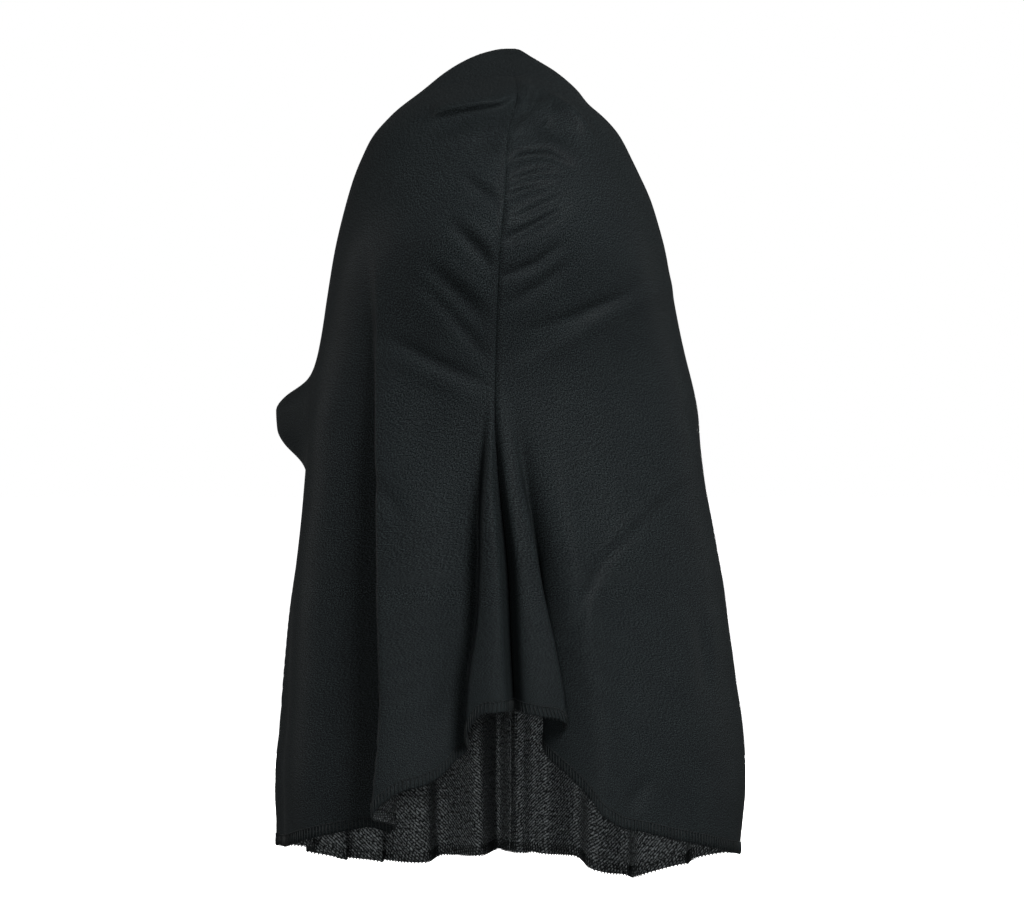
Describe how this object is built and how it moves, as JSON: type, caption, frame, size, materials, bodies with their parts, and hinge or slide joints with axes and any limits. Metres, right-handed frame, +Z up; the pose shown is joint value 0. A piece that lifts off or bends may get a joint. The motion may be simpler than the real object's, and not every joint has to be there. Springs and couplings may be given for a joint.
{
  "type": "hooded cape",
  "caption": "Black satin pull-on cape, hood and short drape in one, with a face opening, centre seams and overlocked hems.",
  "frame": {"origin": "the place inside the crown seam where the top of the wearer's head carries the cape", "axes": "+Z up, +Y towards the face opening, +X to the right when the cape is seen from behind"},
  "size_m": [0.2888, 0.2296, 0.5007],
  "materials": {
    "satin": "satin",
    "thread": "matte"
  },
  "bodies": {
    "root": {"left_panel": "satin", "right_panel": "satin", "face_hem_left": "satin", "face_hem_right": "satin", "back_seam_overlock": "thread", "front_seam_overlock": "thread", "hem_overlock_left": "thread", "hem_overlock_right": "thread"}
  },
  "joints": []
}
